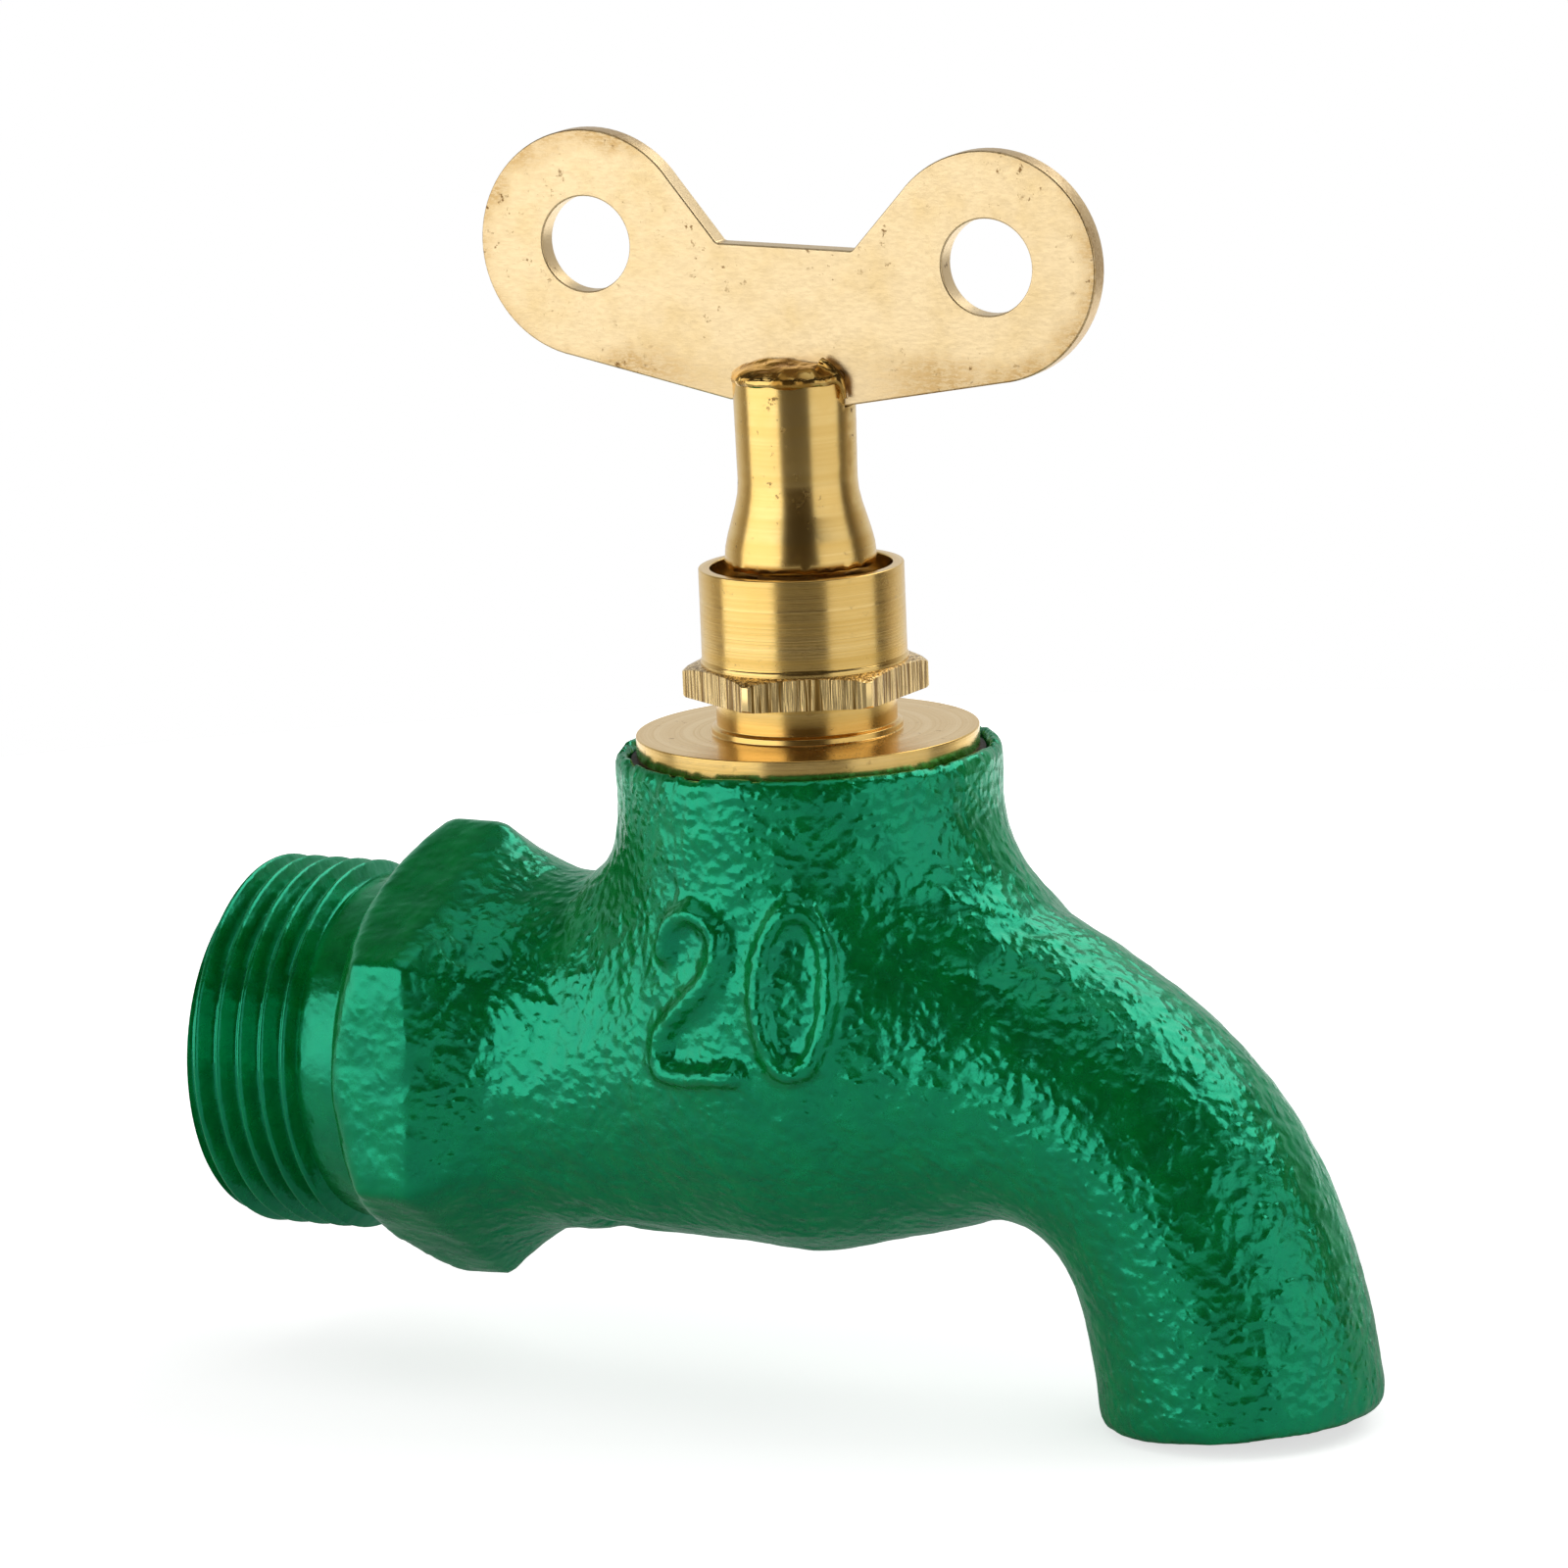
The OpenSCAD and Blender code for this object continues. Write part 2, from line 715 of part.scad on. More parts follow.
module valve_washer() {
    color(rubber_black)
        on_axis()
            ring(washer_d, stud_d + 2 * flat_gap, washer_base, jumper_base);
}

module washer_plate() {
    color(brass)
        on_axis()
            ring(plate_d, stud_d + 2 * flat_gap, plate_base, washer_base);
}

module washer_nut() {
    color(brass)
        on_axis()
            difference() {
                turned_hex(nut_af, nut_af / cos(30) - nut_turned, nut_base, plate_base, nut_chamfer);
                bar(stud_d + 2 * flat_gap, nut_base - lap, plate_base + lap);
            }
}

// Half width of the key tube at a height above its foot
function tube_half(h) = h < foot_round
    ? foot_r - foot_round + foot_round * sin(acos(1 - h / foot_round))
    : tube_r + (foot_r - tube_r) * (1 - ease((h - foot_round) / foot_len))
      + tube_swell * max(0, (h - foot_len) / (tube_len - foot_len));

module key_tube() {
    foot_steps = [for (i = [0 : 4]) foot_round * i / 4];
    wall_steps = [for (i = [1 : 14]) foot_round + (tube_len - foot_round) * i / 14];
    color(brass)
        on_axis()
            difference() {
                translate([0, 0, key_base])
                    rotate_extrude($fn = fine)
                        polygon(concat([[0, 0]],
                                       [for (h = concat(foot_steps, wall_steps)) [tube_half(h), h]],
                                       [[0, tube_len]]));
                translate([-socket_af / 2, -socket_af / 2, key_base - lap])
                    cube([socket_af, socket_af, socket_depth + lap]);
                bar(tube_bore_d, key_base + socket_depth - lap / 2, tube_top + lap);
                in_wing_frame()
                    translate([-tube_d, -wing_t / 2 - flat_gap, -wing_depth - flat_gap])
                        cube([2 * tube_d, wing_t + 2 * flat_gap, wing_depth]);
            }
}

// Frame of the wing: X through both holes, Y across its thickness, origin between the holes
module in_wing_frame() {
    translate([0, 0, hole_level])
        rotate([0, wing_lean, wing_turn])
            children();
}

// Point where a line from p touches the circle at c, on the side given by turn
function touch(p, c, r, turn) =
    let (d = c - p, l = norm(d), a = atan2(d.y, d.x) + turn * asin(r / l), s = sqrt(l * l - r * r))
    p + s * [cos(a), sin(a)];

function lobe_centre(side) = [side * wing_pitch / 2 + wing_shift, 0];

// Straight edges of the wing on one side, from the valley out to the lobe and back to the tube
function wing_edge(side) =
    let (centre = lobe_centre(side),
         valley = [side * valley_half, valley_rise],
         root = [side * tube_r, -wing_depth])
    [valley, touch(valley, centre, lobe_r - edge_bite, side), centre,
     touch(root, centre, lobe_r - edge_bite, -side), root];

module key_wing() {
    color(brass)
        on_axis()
            in_wing_frame()
                translate([0, wing_t / 2, 0])
                    rotate([90, 0, 0])
                        difference() {
                            union() {
                                linear_extrude(wing_t)
                                    polygon(concat(wing_edge(1), [for (i = [4 : -1 : 0]) wing_edge(-1)[i]]));
                                for (side = [-1, 1])
                                    translate(lobe_centre(side))
                                        cylinder(r = lobe_r, h = wing_t, $fn = fine);
                            }
                            for (side = [-1, 1])
                                translate(concat(lobe_centre(side), -lap))
                                    cylinder(d = wing_hole_d, h = wing_t + 2 * lap, $fn = fine);
                        }
}

// Braze that fills the top of the tube on both sides of the wing
module key_braze() {
    edge = tube_r;
    plug_d = tube_bore_d - 2 * flat_gap;
    dome_steps = 8;
    color(brass)
        on_axis()
            difference() {
                union() {
                    rotate_extrude($fn = fine)
                        polygon(concat([[0, tube_top + flat_gap]],
                                       [for (i = [0 : dome_steps])
                                           [edge * cos(90 * i / dome_steps),
                                            tube_top + flat_gap + braze_h * sin(90 * i / dome_steps)]]));
                    bar(plug_d, slot_floor - lap, tube_top + braze_h / 2);
                }
                in_wing_frame()
                    translate([-tube_d, -wing_t / 2 - flat_gap, -wing_depth - flat_gap])
                        cube([2 * tube_d, wing_t + 2 * flat_gap, 2 * wing_depth]);
            }
}

tap_body();
valve_seat();
bonnet();
bonnet_gasket();
packing_washer();
packing_ring_lower();
packing_ring_upper();
gland_nut();
spindle();
jumper();
jumper_snap_ring();
valve_washer();
washer_plate();
washer_nut();
key_tube();
key_wing();
key_braze();
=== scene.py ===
"""Looks of the garden tap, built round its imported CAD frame.

The casting is a green enamelled skin with a helical inlet thread, the head is turned brass,
and the loose key is a brazed brass wing on a flared tube.
"""

import json
import math

import bpy
from mathutils import Matrix, Vector

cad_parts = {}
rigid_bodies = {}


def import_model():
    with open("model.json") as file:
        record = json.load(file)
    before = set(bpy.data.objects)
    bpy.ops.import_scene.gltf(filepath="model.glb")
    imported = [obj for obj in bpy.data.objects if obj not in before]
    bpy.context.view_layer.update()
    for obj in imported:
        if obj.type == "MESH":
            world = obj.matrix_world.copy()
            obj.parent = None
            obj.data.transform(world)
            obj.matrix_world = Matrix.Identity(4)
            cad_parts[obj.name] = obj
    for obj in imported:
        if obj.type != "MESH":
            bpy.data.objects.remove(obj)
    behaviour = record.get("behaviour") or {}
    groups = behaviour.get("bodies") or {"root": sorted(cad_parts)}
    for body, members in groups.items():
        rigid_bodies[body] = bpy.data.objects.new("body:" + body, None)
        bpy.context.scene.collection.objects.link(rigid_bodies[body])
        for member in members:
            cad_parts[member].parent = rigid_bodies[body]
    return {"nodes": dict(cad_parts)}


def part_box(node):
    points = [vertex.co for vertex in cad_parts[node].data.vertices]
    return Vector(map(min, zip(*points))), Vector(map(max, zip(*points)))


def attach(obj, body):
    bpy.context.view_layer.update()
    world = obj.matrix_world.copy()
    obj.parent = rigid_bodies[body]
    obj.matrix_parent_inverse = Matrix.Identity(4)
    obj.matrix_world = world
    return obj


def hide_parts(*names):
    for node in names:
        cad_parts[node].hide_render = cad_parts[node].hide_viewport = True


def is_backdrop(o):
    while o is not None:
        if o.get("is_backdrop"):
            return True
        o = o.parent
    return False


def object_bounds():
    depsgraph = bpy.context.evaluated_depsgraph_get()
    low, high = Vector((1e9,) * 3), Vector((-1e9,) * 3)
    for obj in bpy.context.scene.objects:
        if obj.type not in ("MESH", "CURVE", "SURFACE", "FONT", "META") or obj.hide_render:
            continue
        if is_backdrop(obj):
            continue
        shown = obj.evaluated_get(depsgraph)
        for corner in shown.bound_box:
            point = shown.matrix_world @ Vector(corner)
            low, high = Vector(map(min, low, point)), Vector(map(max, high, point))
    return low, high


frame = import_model()
cad_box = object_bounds()

MM = 0.001
COLLAR_FLATS_END = 19.8 * MM
WING_HOLES_Z = 0.0591
WING_HALF_PITCH = 0.01525
AXIS_X = (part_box("valve_seat")[0].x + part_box("valve_seat")[1].x) / 2


# Small helpers

def deselect_all():
    """Leaves nothing selected, so an operator acts on its own piece alone."""
    for shown in bpy.context.scene.objects:
        shown.select_set(False)


def make_only(piece):
    """Makes one piece the active and only selected object."""
    deselect_all()
    piece.select_set(True)
    bpy.context.view_layer.objects.active = piece


def edit(piece):
    """Opens a piece in edit mode with all of it selected."""
    make_only(piece)
    bpy.ops.object.mode_set(mode="EDIT")
    bpy.ops.mesh.select_all(action="SELECT")


def leave_edit():
    """Goes back to object mode."""
    bpy.ops.object.mode_set(mode="OBJECT")


def apply_modifier(piece, kind, **settings):
    """Adds one modifier with its settings and applies it."""
    make_only(piece)
    modifier = piece.modifiers.new(kind.lower(), kind)
    for key, value in settings.items():
        setattr(modifier, key, value)
    bpy.ops.object.modifier_apply(modifier=modifier.name)


def settle(piece, name):
    """Puts a piece's place into its mesh and names it."""
    make_only(piece)
    bpy.ops.object.transform_apply(location=True, rotation=True, scale=True)
    piece.name = name
    piece.data.name = name
    return piece


def face_out(piece):
    """Merges doubles and turns all faces outwards."""
    edit(piece)
    bpy.ops.mesh.remove_doubles(threshold=0.002 * MM)
    bpy.ops.mesh.normals_make_consistent(inside=False)
    leave_edit()


def shade(piece, angle):
    """Smooth shading, with edges kept above an angle in degrees."""
    make_only(piece)
    bpy.ops.object.shade_smooth_by_angle(angle=math.radians(angle))


def join(pieces, name):
    """Joins pieces into the first of them."""
    make_only(pieces[0])
    for other in pieces[1:]:
        other.select_set(True)
    bpy.ops.object.join()
    return settle(pieces[0], name)


def cad_copy(node, name):
    """A copy of a CAD node's mesh, with its loose triangles joined up."""
    piece = bpy.data.objects.new(name, frame["nodes"][node].data.copy())
    bpy.context.scene.collection.objects.link(piece)
    piece.data.materials.clear()
    edit(piece)
    bpy.ops.mesh.remove_doubles(threshold=0.002 * MM)
    leave_edit()
    return piece


def traced(points):
    """A line of vertices through points in millimetres, traced by extruding from one of them."""
    first = Vector(points[0]) * MM
    bpy.ops.mesh.primitive_plane_add(size=MM, location=first)
    line = bpy.context.active_object
    settle(line, "traced_line")
    edit(line)
    bpy.ops.mesh.merge(type="CENTER")
    here = first
    for point in points[1:]:
        there = Vector(point) * MM
        bpy.ops.mesh.extrude_vertices_move(TRANSFORM_OT_translate={"value": there - here})
        here = there
    leave_edit()
    return line


def turned(profile, name, steps=128):
    """A piece turned about the spindle axis from a closed profile of (radius, height) in mm."""
    axis = AXIS_X / MM
    piece = traced([(axis + r, 0, z) for r, z in profile + profile[:1]])
    edit(piece)
    bpy.ops.mesh.spin(steps=steps, angle=math.tau, center=(AXIS_X, 0, 0), axis=(0, 0, 1))
    leave_edit()
    face_out(piece)
    return settle(piece, name)


def soften(piece, width, segments=3, angle=28):
    """Rounds the edges that are sharper than an angle, and shades the piece smooth."""
    apply_modifier(piece, "BEVEL", width=width * MM, segments=segments, limit_method="ANGLE",
                   angle_limit=math.radians(angle), harden_normals=False, miter_outer="MITER_ARC")
    shade(piece, 32)
    apply_modifier(piece, "WEIGHTED_NORMAL", mode="FACE_AREA", weight=80, keep_sharp=True)


def finish_piece(piece, body, material, slot, *nodes):
    """Gives a piece its material, the body that it rides on and the nodes that it stands for."""
    piece.data.materials.clear()
    piece.data.materials.append(material)
    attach(piece, body)
    if nodes:
        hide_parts(*nodes)


# Nodes of the materials

def place(tree, kind, settings=None, sockets=None):
    """Adds a shader node, sets it up and links or fills its sockets."""
    made = tree.nodes.new(kind)
    for key, value in (settings or {}).items():
        setattr(made, key, value)
    for key, value in (sockets or {}).items():
        if isinstance(value, bpy.types.NodeSocket):
            tree.links.new(value, made.inputs[key])
        else:
            made.inputs[key].default_value = value
    return made


def maths(tree, operation, a, b=0.0, c=0.0):
    """One Math node's output."""
    return place(tree, "ShaderNodeMath", {"operation": operation}, {0: a, 1: b, 2: c}).outputs[0]


def between(tree, value, low, high, to_low=0.0, to_high=1.0):
    """A value mapped smoothly from one range to another."""
    made = place(tree, "ShaderNodeMapRange", {"interpolation_type": "SMOOTHSTEP"},
                 {"Value": value, "From Min": low, "From Max": high, "To Min": to_low, "To Max": to_high})
    return made.outputs["Result"]


def noise(tree, vector, scale, detail=2.0, rough=0.5, distortion=0.0):
    """One noise texture's value."""
    made = place(tree, "ShaderNodeTexNoise", None,
                 {"Vector": vector, "Scale": scale, "Detail": detail, "Roughness": rough,
                  "Distortion": distortion})
    return made.outputs["Fac"]


def blended(tree, share, one, other):
    """A colour between two colours."""
    made = place(tree, "ShaderNodeMix", {"data_type": "RGBA"}, {"Factor": share, "A": one, "B": other})
    return made.outputs["Result"]


def blended_value(tree, share, one, other):
    """A value between two values."""
    return place(tree, "ShaderNodeMix", {"data_type": "FLOAT"},
                 {"Factor": share, "A": one, "B": other}).outputs["Result"]


def new_group(name, inputs, outputs):
    """An empty shader group with float or vector inputs and float outputs."""
    group = bpy.data.node_groups.new(name, "ShaderNodeTree")
    for label, kind, default in inputs:
        socket = group.interface.new_socket(label, in_out="INPUT", socket_type=kind)
        if default is not None:
            socket.default_value = default
    for label in outputs:
        group.interface.new_socket(label, in_out="OUTPUT", socket_type="NodeSocketFloat")
    return group, place(group, "NodeGroupInput"), place(group, "NodeGroupOutput")


def cast_skin_group():
    """Orange peel and lumps of thick paint on a rough casting."""
    group, given, result = new_group(
        "cast_skin",
        [("Vector", "NodeSocketVector", None), ("Peel Scale", "NodeSocketFloat", 1000.0)],
        ["Height", "Mottle"])
    vector = given.outputs["Vector"]
    scale = given.outputs["Peel Scale"]
    bent = place(group, "ShaderNodeTexNoise", None, {"Vector": vector, "Scale": 420.0, "Detail": 1.0})
    shift = place(group, "ShaderNodeVectorMath", {"operation": "MULTIPLY_ADD"},
                  {0: bent.outputs["Color"], 1: (0.0011, 0.0011, 0.0011), 2: vector}).outputs[0]
    cells = place(group, "ShaderNodeTexVoronoi", {"feature": "SMOOTH_F1"},
                  {"Vector": shift, "Scale": scale, "Smoothness": 0.85, "Randomness": 0.9})
    dimples = maths(group, "SUBTRACT", 0.75, cells.outputs["Distance"])
    coarse = noise(group, shift, 520.0, 2.0, 0.5)
    fine = noise(group, vector, 2300.0, 1.0, 0.5)
    height = maths(group, "MULTIPLY_ADD", coarse, 1.3, dimples)
    height = maths(group, "MULTIPLY_ADD", fine, 0.22, height)
    group.links.new(height, result.inputs["Height"])
    patches = noise(group, vector, 420.0, 4.0, 0.65)
    group.links.new(between(group, patches, 0.3, 0.7), result.inputs["Mottle"])
    return group


def lathe_group():
    """Rings that a tool leaves on turned brass: circles on faces and hoops on round walls."""
    group, given, result = new_group(
        "lathe_rings",
        [("Vector", "NodeSocketVector", None), ("Ring Scale", "NodeSocketFloat", 7000.0)],
        ["Height", "Tone"])
    parts = place(group, "ShaderNodeSeparateXYZ", None, {"Vector": given.outputs["Vector"]})
    across = maths(group, "MULTIPLY", parts.outputs["X"], parts.outputs["X"])
    radius = maths(group, "SQRT", maths(group, "MULTIPLY_ADD", parts.outputs["Y"], parts.outputs["Y"], across))
    flat = place(group, "ShaderNodeCombineXYZ", None, {"X": radius, "Y": parts.outputs["Z"], "Z": 0.0})
    scale = given.outputs["Ring Scale"]
    lines = noise(group, flat.outputs["Vector"], scale, 2.0, 0.7)
    bands = noise(group, flat.outputs["Vector"], 1100.0, 2.0, 0.6)
    broken = noise(group, given.outputs["Vector"], 900.0, 2.0, 0.6)
    height = maths(group, "MULTIPLY", lines, between(group, broken, 0.25, 0.6, 0.35, 1.0))
    group.links.new(height, result.inputs["Height"])
    tone = maths(group, "MULTIPLY_ADD", bands, 0.6, maths(group, "MULTIPLY", lines, 0.4))
    group.links.new(tone, result.inputs["Tone"])
    return group


def tarnish_group():
    """Brown spots and clouds on brass that has been handled."""
    group, given, result = new_group(
        "tarnish",
        [("Vector", "NodeSocketVector", None), ("Amount", "NodeSocketFloat", 0.5)],
        ["Spots", "Clouds"])
    vector = given.outputs["Vector"]
    amount = given.outputs["Amount"]
    specks = noise(group, vector, 1500.0, 3.0, 0.7)
    where = noise(group, vector, 210.0, 2.0, 0.5)
    spots = maths(group, "MULTIPLY", between(group, specks, 0.60, 0.72), between(group, where, 0.45, 0.62))
    group.links.new(maths(group, "MULTIPLY", spots, amount), result.inputs["Spots"])
    clouds = between(group, noise(group, vector, 170.0, 4.0, 0.65), 0.42, 0.75)
    group.links.new(maths(group, "MULTIPLY", clouds, amount), result.inputs["Clouds"])
    return group


CAST_SKIN = cast_skin_group()
LATHE = lathe_group()
TARNISH = tarnish_group()


def new_material(name, metallic=0.0, **constants):
    """A material with its Principled shader and Object coordinates."""
    material = bpy.data.materials.new(name)
    material.use_nodes = True
    tree = material.node_tree
    shader = tree.nodes["Principled BSDF"]
    shader.inputs["Metallic"].default_value = metallic
    for label, value in constants.items():
        shader.inputs[label.replace("_", " ")].default_value = value
    where = place(tree, "ShaderNodeTexCoord").outputs["Object"]
    return material, tree, shader, where


def centred(tree, where, turn=0.0, middle=(AXIS_X, 0.0, 0.0)):
    """Coordinates measured from a point on a piece, turned about Z."""
    moved = place(tree, "ShaderNodeVectorMath", {"operation": "SUBTRACT"}, {0: where, 1: middle}).outputs[0]
    if not turn:
        return moved
    return place(tree, "ShaderNodeMapping", None, {"Vector": moved, "Rotation": (0.0, 0.0, -turn)}).outputs[0]


def use_group(tree, group, **sockets):
    """Places a shared group in a material."""
    named = {label.replace("_", " "): value for label, value in sockets.items()}
    return place(tree, "ShaderNodeGroup", {"node_tree": group}, named)


def bumped(tree, shader, height, strength, distance):
    """Feeds a height through a Bump node to the shader."""
    bump = place(tree, "ShaderNodeBump", None,
                 {"Height": height, "Strength": strength, "Distance": distance})
    tree.links.new(bump.outputs["Normal"], shader.inputs["Normal"])


def green_enamel(name, peel, strength, flats_share=1.0):
    """Thick glossy green paint over a casting, calmer on the collar's flats."""
    material, tree, shader, where = new_material(name, IOR=2.0, Specular_IOR_Level=1.0)
    shader.inputs["Specular Tint"].default_value = (0.06, 1.0, 0.62, 1.0)
    skin = use_group(tree, CAST_SKIN, Vector=where, Peel_Scale=peel)
    deep = (0.0, 0.098, 0.006, 1.0)
    fresh = (0.0, 0.16, 0.016, 1.0)
    colour = blended(tree, skin.outputs["Mottle"], deep, fresh)
    tree.links.new(colour, shader.inputs["Base Color"])
    rough = between(tree, skin.outputs["Height"], 0.6, 1.6, 0.3, 0.2)
    tree.links.new(rough, shader.inputs["Roughness"])
    along = place(tree, "ShaderNodeSeparateXYZ", None, {"Vector": where}).outputs["X"]
    share = between(tree, along, COLLAR_FLATS_END, COLLAR_FLATS_END + 2 * MM, flats_share, 1.0)
    bumped(tree, shader, maths(tree, "MULTIPLY", skin.outputs["Height"], share), strength, 0.24 * MM)
    return material


def turned_brass(name, bright, deep, ring_scale=7000.0, roughness=0.21, stain=0.5, grain=1.0):
    """Machined brass with tool rings, small spots and slightly uneven colour; grain is how much the rings show."""
    material, tree, shader, where = new_material(name, metallic=1.0)
    local = centred(tree, where)
    rings = use_group(tree, LATHE, Vector=local, Ring_Scale=ring_scale)
    marks = use_group(tree, TARNISH, Vector=where, Amount=stain)
    colour = blended(tree, between(tree, rings.outputs["Tone"], 0.3, 0.7), deep, bright)
    colour = blended(tree, marks.outputs["Clouds"], colour, deep)
    colour = blended(tree, marks.outputs["Spots"], colour, (0.16, 0.075, 0.02, 1.0))
    tree.links.new(colour, shader.inputs["Base Color"])
    rough = between(tree, rings.outputs["Tone"], 0.3, 0.7, roughness + 0.07 * grain, roughness - 0.04 * grain)
    tree.links.new(maths(tree, "MULTIPLY_ADD", marks.outputs["Spots"], 0.3, rough), shader.inputs["Roughness"])
    bumped(tree, shader, rings.outputs["Height"], 0.14 * grain, 0.03 * MM)
    return material


def milled_brass_painted_reflections(name, bright, deep):
    """Brass flats with the upright chatter lines of a cutter in the bump; the lines are coloured from dark to bright as
    painted reflection streaks, and the rounded corners are coloured bright as a painted highlight.
    """
    material, tree, shader, where = new_material(name, metallic=1.0)
    local = centred(tree, where)
    upright = place(tree, "ShaderNodeVectorMath", {"operation": "MULTIPLY"}, {0: local, 1: (1.0, 1.0, 0.03)}).outputs[0]
    radius = place(tree, "ShaderNodeVectorMath", {"operation": "LENGTH"}, {
        0: place(tree, "ShaderNodeVectorMath", {"operation": "MULTIPLY"}, {0: local, 1: (1.0, 1.0, 0.0)}).outputs[0]})
    # On the flats the chatter noise sets the colour from dark to bright as painted reflection streaks; the corners get
    # a fixed value that gives the bright colour, a painted highlight.
    flats = between(tree, radius.outputs["Value"], 8.5 * MM, 8.6 * MM, 1.0, 0.0)
    lines = blended_value(tree, flats, 0.58, noise(tree, upright, 4200.0, 2.0, 0.6))
    colour = blended(tree, between(tree, lines, 0.40, 0.56), deep, bright)
    tree.links.new(colour, shader.inputs["Base Color"])
    tree.links.new(between(tree, lines, 0.3, 0.7, 0.34, 0.2), shader.inputs["Roughness"])
    bumped(tree, shader, lines, 1.0, 0.14 * MM)
    return material


def rolled_brass(name, bright, deep):
    """Satin sheet brass with fine scratches, and brown tarnish towards the rims of the lobes."""
    material, tree, shader, where = new_material(name, metallic=1.0)
    local = centred(tree, where, math.radians(3.4), (AXIS_X, 0.0, WING_HOLES_Z))
    parts = place(tree, "ShaderNodeSeparateXYZ", None, {"Vector": local})
    side = maths(tree, "SUBTRACT", maths(tree, "ABSOLUTE", parts.outputs["X"]), WING_HALF_PITCH)
    outward = maths(tree, "MAXIMUM", side, -0.003)
    reach = maths(tree, "SQRT", maths(tree, "MULTIPLY_ADD", parts.outputs["Z"], parts.outputs["Z"],
                                      maths(tree, "MULTIPLY", outward, outward)))
    wander = noise(tree, where, 420.0, 4.0, 0.65)
    rim = between(tree, maths(tree, "MULTIPLY_ADD", wander, 0.004, reach), 0.0086, 0.0108)
    rim = maths(tree, "MULTIPLY", rim, between(tree, side, -0.011, -0.003, 0.1, 1.0))
    long_marks = place(tree, "ShaderNodeVectorMath", {"operation": "MULTIPLY"}, {0: local, 1: (0.35, 1.0, 1.0)}).outputs[0]
    scratches = noise(tree, long_marks, 5200.0, 3.0, 0.7)
    dots = use_group(tree, TARNISH, Vector=where, Amount=1.0)
    broad = noise(tree, where, 260.0, 3.0, 0.55)
    colour = blended(tree, between(tree, broad, 0.4, 0.8), bright, deep)
    stain = maths(tree, "MULTIPLY", rim, between(tree, scratches, 0.35, 0.6, 0.2, 0.85))
    colour = blended(tree, stain, colour, (0.50, 0.31, 0.11, 1.0))
    colour = blended(tree, dots.outputs["Spots"], colour, (0.22, 0.12, 0.04, 1.0))
    tree.links.new(colour, shader.inputs["Base Color"])
    rough = between(tree, scratches, 0.3, 0.7, 0.42, 0.33)
    tree.links.new(rough, shader.inputs["Roughness"])
    bumped(tree, shader, maths(tree, "MULTIPLY_ADD", broad, 0.6, scratches), 0.3, 0.035 * MM)
    return material


def molten_brass(name, bright, deep):
    """Shiny braze that ran and set in folds."""
    material, tree, shader, where = new_material(name, metallic=1.0)
    folds = noise(tree, where, 520.0, 2.0, 0.5, 1.2)
    tree.links.new(blended(tree, between(tree, folds, 0.35, 0.65), deep, bright), shader.inputs["Base Color"])
    tree.links.new(between(tree, folds, 0.3, 0.7, 0.3, 0.14), shader.inputs["Roughness"])
    bumped(tree, shader, folds, 0.8, 0.25 * MM)
    return material


def plain_finish(name, colour, dark, roughness, scale, metallic=0.0):
    """A quiet finish with grain for the small pieces inside."""
    material, tree, shader, where = new_material(name, metallic=metallic)
    grain = noise(tree, where, scale, 3.0, 0.6)
    tree.links.new(blended(tree, between(tree, grain, 0.3, 0.7), dark, colour), shader.inputs["Base Color"])
    tree.links.new(between(tree, grain, 0.3, 0.7, roughness + 0.08, roughness - 0.05), shader.inputs["Roughness"])
    bumped(tree, shader, grain, 0.25, 0.03 * MM)
    return material


BRASS_BRIGHT = (0.87, 0.62, 0.24, 1.0)
BRASS_DEEP = (0.78, 0.50, 0.13, 1.0)
enamel = green_enamel("green_enamel", 1200.0, 0.68, 0.35)
thread_enamel = green_enamel("thread_enamel", 700.0, 0.3)
head_brass = turned_brass("head_brass", BRASS_BRIGHT, BRASS_DEEP)
key_brass = turned_brass("key_brass", (0.87, 0.63, 0.25, 1.0), (0.80, 0.53, 0.16, 1.0), 5200.0, 0.22, 0.9, 0.2)
# Hexagon colours: the deep one paints dark reflection streaks on the flats, and the bright one paints light streaks and
# a highlight on the corners.
hexagon_brass_painted_reflections = milled_brass_painted_reflections("hexagon_brass_painted_reflections", (1.0, 0.74, 0.33, 1.0), (0.30, 0.17, 0.04, 1.0))
wing_brass = rolled_brass("wing_brass", (0.83, 0.65, 0.38, 1.0), (0.76, 0.57, 0.29, 1.0))
braze_brass = molten_brass("braze_brass", (0.74, 0.50, 0.16, 1.0), (0.40, 0.21, 0.04, 1.0))
inner_brass = turned_brass("inner_brass", (0.72, 0.52, 0.22, 1.0), (0.6, 0.4, 0.15, 1.0), 6000.0, 0.3, 0.3)
black_rubber = plain_finish("black_rubber", (0.025, 0.025, 0.028, 1.0), (0.012, 0.012, 0.014, 1.0), 0.6, 1800.0)
graphite = plain_finish("graphite_packing", (0.06, 0.06, 0.065, 1.0), (0.03, 0.03, 0.033, 1.0), 0.5, 2600.0)
spring_steel = plain_finish("spring_steel", (0.55, 0.56, 0.58, 1.0), (0.4, 0.41, 0.43, 1.0), 0.3, 3000.0, 1.0)


# Casting: a remeshed copy of the solid, with soft edges, the raised number and uneven paint

THREAD_LEN = 12.9
BOSS_TOP = 24.3
CRISP_COLLAR_END = 20.5
CRISP_RIM = 23.6
DIGIT_STROKE = 0.66
DIGIT_SINK = -0.52
TWO_LINE = [(40.2, 11.2), (40.4, 13.0), (41.5, 14.5), (43.0, 14.95), (44.4, 14.1), (44.9, 12.5),
            (44.5, 10.7), (43.2, 9.1), (41.6, 7.8), (40.3, 6.4), (39.8, 4.9), (39.8, 3.3), (41.9, 3.2),
            (44.2, 3.45), (46.4, 3.7)]
ZERO_MIDDLE = (50.3, 9.7)
ZERO_HALF = (2.45, 5.75)
ZERO_LEAN = 0.02


